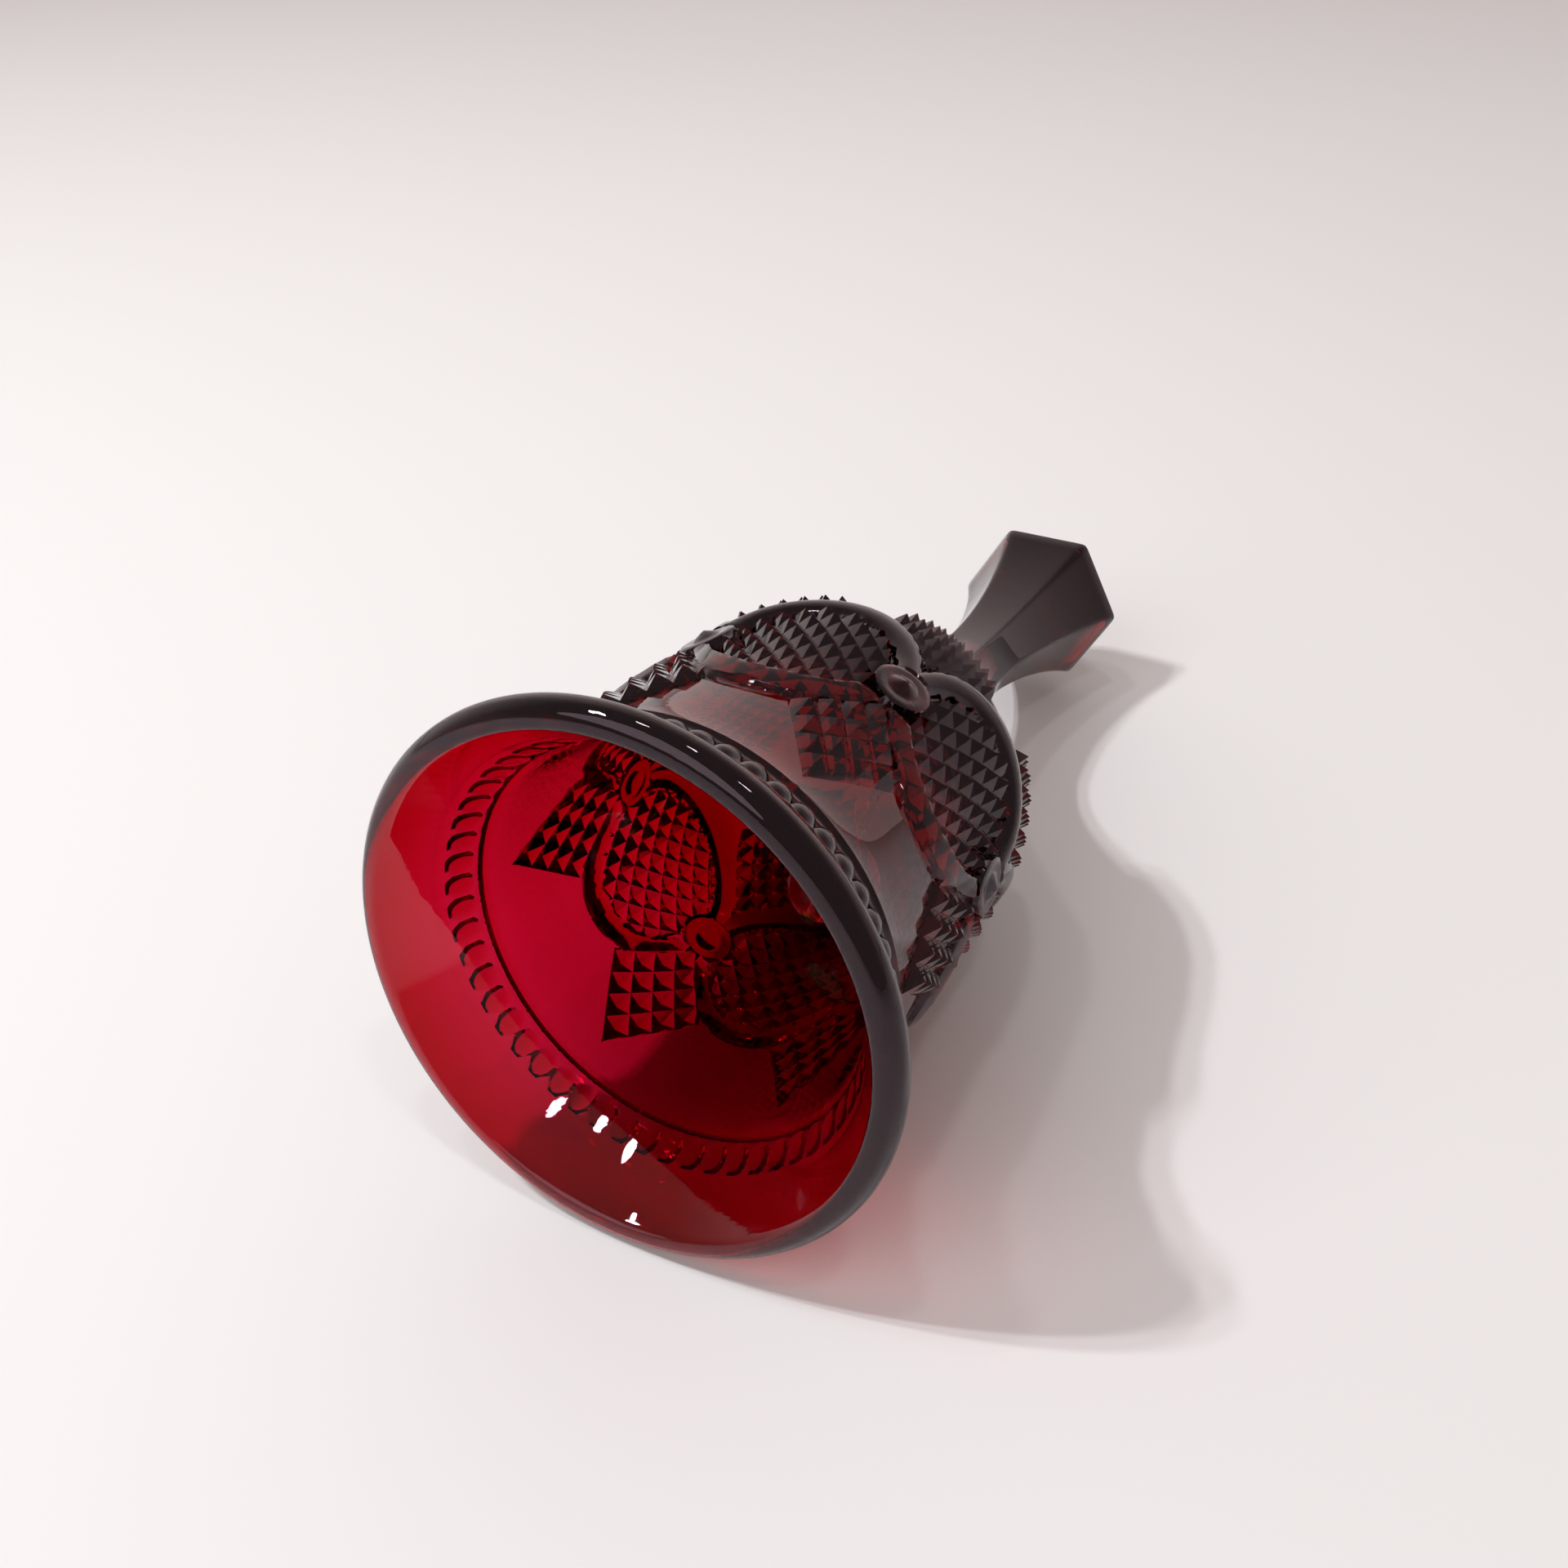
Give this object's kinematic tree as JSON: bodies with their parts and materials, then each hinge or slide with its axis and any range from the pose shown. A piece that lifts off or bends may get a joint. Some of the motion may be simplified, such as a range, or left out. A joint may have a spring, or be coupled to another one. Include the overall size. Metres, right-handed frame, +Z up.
{
  "type": "glass hand bell",
  "caption": "Pressed ruby glass hand bell lying on its side, with a fluted hexagonal handle, ring and diamond-point relief, and a clear bead clapper hung on a wire chain.",
  "frame": {"origin": "on the table under the middle of the lying bell, at the centre of its box's bottom face", "axes": "+Z up; +X from the mouth to the handle, level with the table; +Y across the bell"},
  "size_m": [0.1706, 0.0826, 0.0817],
  "materials": {
    "ruby_glass": "polished pressed glass, deep ruby",
    "plaster": "matt set plaster cement",
    "brass_wire": "drawn wire, lightly tarnished",
    "clear_acrylic": "clear polished bead"
  },
  "bodies": {
    "bell": {"glass_bell": "ruby_glass", "crown_cement": "plaster", "hanger_eye": "brass_wire"},
    "link_1": {"chain_link_1": "brass_wire"},
    "link_2": {"chain_link_2": "brass_wire"},
    "link_3": {"chain_link_3": "brass_wire"},
    "link_4": {"chain_link_4": "brass_wire"},
    "link_5": {"chain_link_5": "brass_wire"},
    "pin": {"bead_pin": "brass_wire"},
    "bead": {"clapper_bead": "clear_acrylic"}
  },
  "joints": [
    {"name": "chain_turn", "type": "hinge", "parent": "bell", "child": "link_1", "pos_m": [0.01273, 0, 0.02715], "axis": [0.9885, 0, -0.1513], "range_deg": [-15, 15]},
    {"name": "chain_swing", "type": "hinge", "parent": "link_1", "child": "link_2", "pos_m": [0.00667, 0, 0.02479], "axis": [0, 1, 0], "range_deg": [0, 50]},
    {"name": "link_3_twist", "type": "hinge", "parent": "link_2", "child": "link_3", "pos_m": [0.00224, 0, 0.02306], "axis": [-0.9317, 0, -0.3632], "range_deg": [-25, 25]},
    {"name": "link_4_swing", "type": "hinge", "parent": "link_3", "child": "link_4", "pos_m": [-0.00218, 0, 0.02134], "axis": [0, 1, 0], "range_deg": [0, 15]},
    {"name": "link_5_twist", "type": "hinge", "parent": "link_4", "child": "link_5", "pos_m": [-0.00661, 0, 0.01961], "axis": [-0.9317, 0, -0.3632], "range_deg": [-25, 25]},
    {"name": "pin_swing", "type": "hinge", "parent": "link_5", "child": "pin", "pos_m": [-0.01103, 0, 0.01788], "axis": [0, 1, 0], "range_deg": [0, 15]},
    {"name": "bead_spin", "type": "hinge", "parent": "pin", "child": "bead", "pos_m": [-0.01898, 0, 0.01479], "axis": [-0.9317, 0, -0.3632], "continuous": true}
  ]
}
